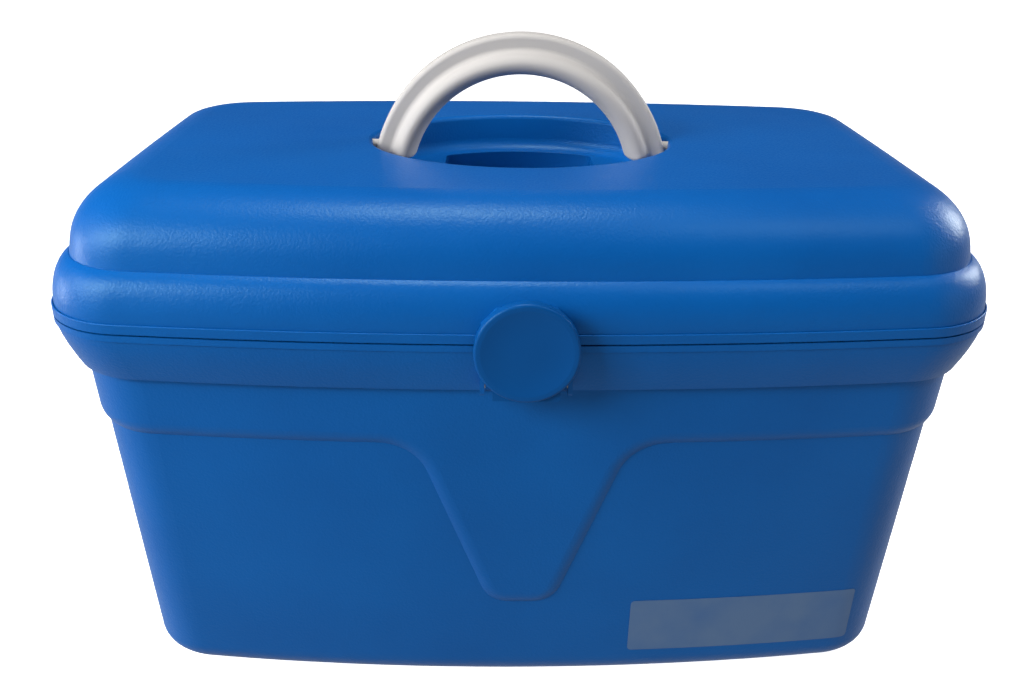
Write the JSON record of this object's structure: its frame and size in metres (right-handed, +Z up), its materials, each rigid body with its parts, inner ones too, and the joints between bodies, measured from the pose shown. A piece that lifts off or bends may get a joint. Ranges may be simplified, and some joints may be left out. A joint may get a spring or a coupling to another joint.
{
  "type": "manicure case",
  "caption": "Hard moulded plastic carry case with a hinged two-tier lid, an arched handle that folds into an oval pocket in the lid, a round front latch and a lift-out tray inside.",
  "frame": {"origin": "middle of the footprint, on the surface that the case stands on", "axes": "+Z up, +X along the length to the right of someone facing the latch, -Y out of the front"},
  "size_m": [0.33, 0.2258, 0.2389],
  "materials": {
    "blue_plastic": "mid blue moulded plastic, satin",
    "grey_plastic": "light warm grey moulded plastic, satin",
    "tray_plastic": "light grey moulded plastic, fine matt grain",
    "pin_steel": "drawn steel wire",
    "label_film": "bare greyish label film"
  },
  "bodies": {
    "base": {"base": "blue_plastic", "latch_pin": "pin_steel", "hinge_pin_left": "pin_steel", "hinge_pin_right": "pin_steel"},
    "lid": {"lid": "blue_plastic"},
    "handle": {"handle": "grey_plastic"},
    "latch": {"latch": "blue_plastic"},
    "tray": {"tray": "tray_plastic"}
  },
  "joints": [
    {"name": "lid_hinge", "type": "hinge", "parent": "base", "child": "lid", "pos_m": [0, 0.1089, 0.1545], "axis": [-1, 0, 0], "range_deg": [0, 100]},
    {"name": "handle_fold", "type": "hinge", "parent": "lid", "child": "handle", "pos_m": [0, 0, 0.1954], "axis": [1, 0, 0], "range_deg": [-90, 90]},
    {"name": "latch_turn", "type": "hinge", "parent": "base", "child": "latch", "pos_m": [0, -0.1049, 0.141], "axis": [1, 0, 0], "range_deg": [0, 90]},
    {"name": "tray_lift", "type": "slide", "parent": "base", "child": "tray", "axis": [0, 0, 1], "range_m": [0, 0.024]}
  ]
}
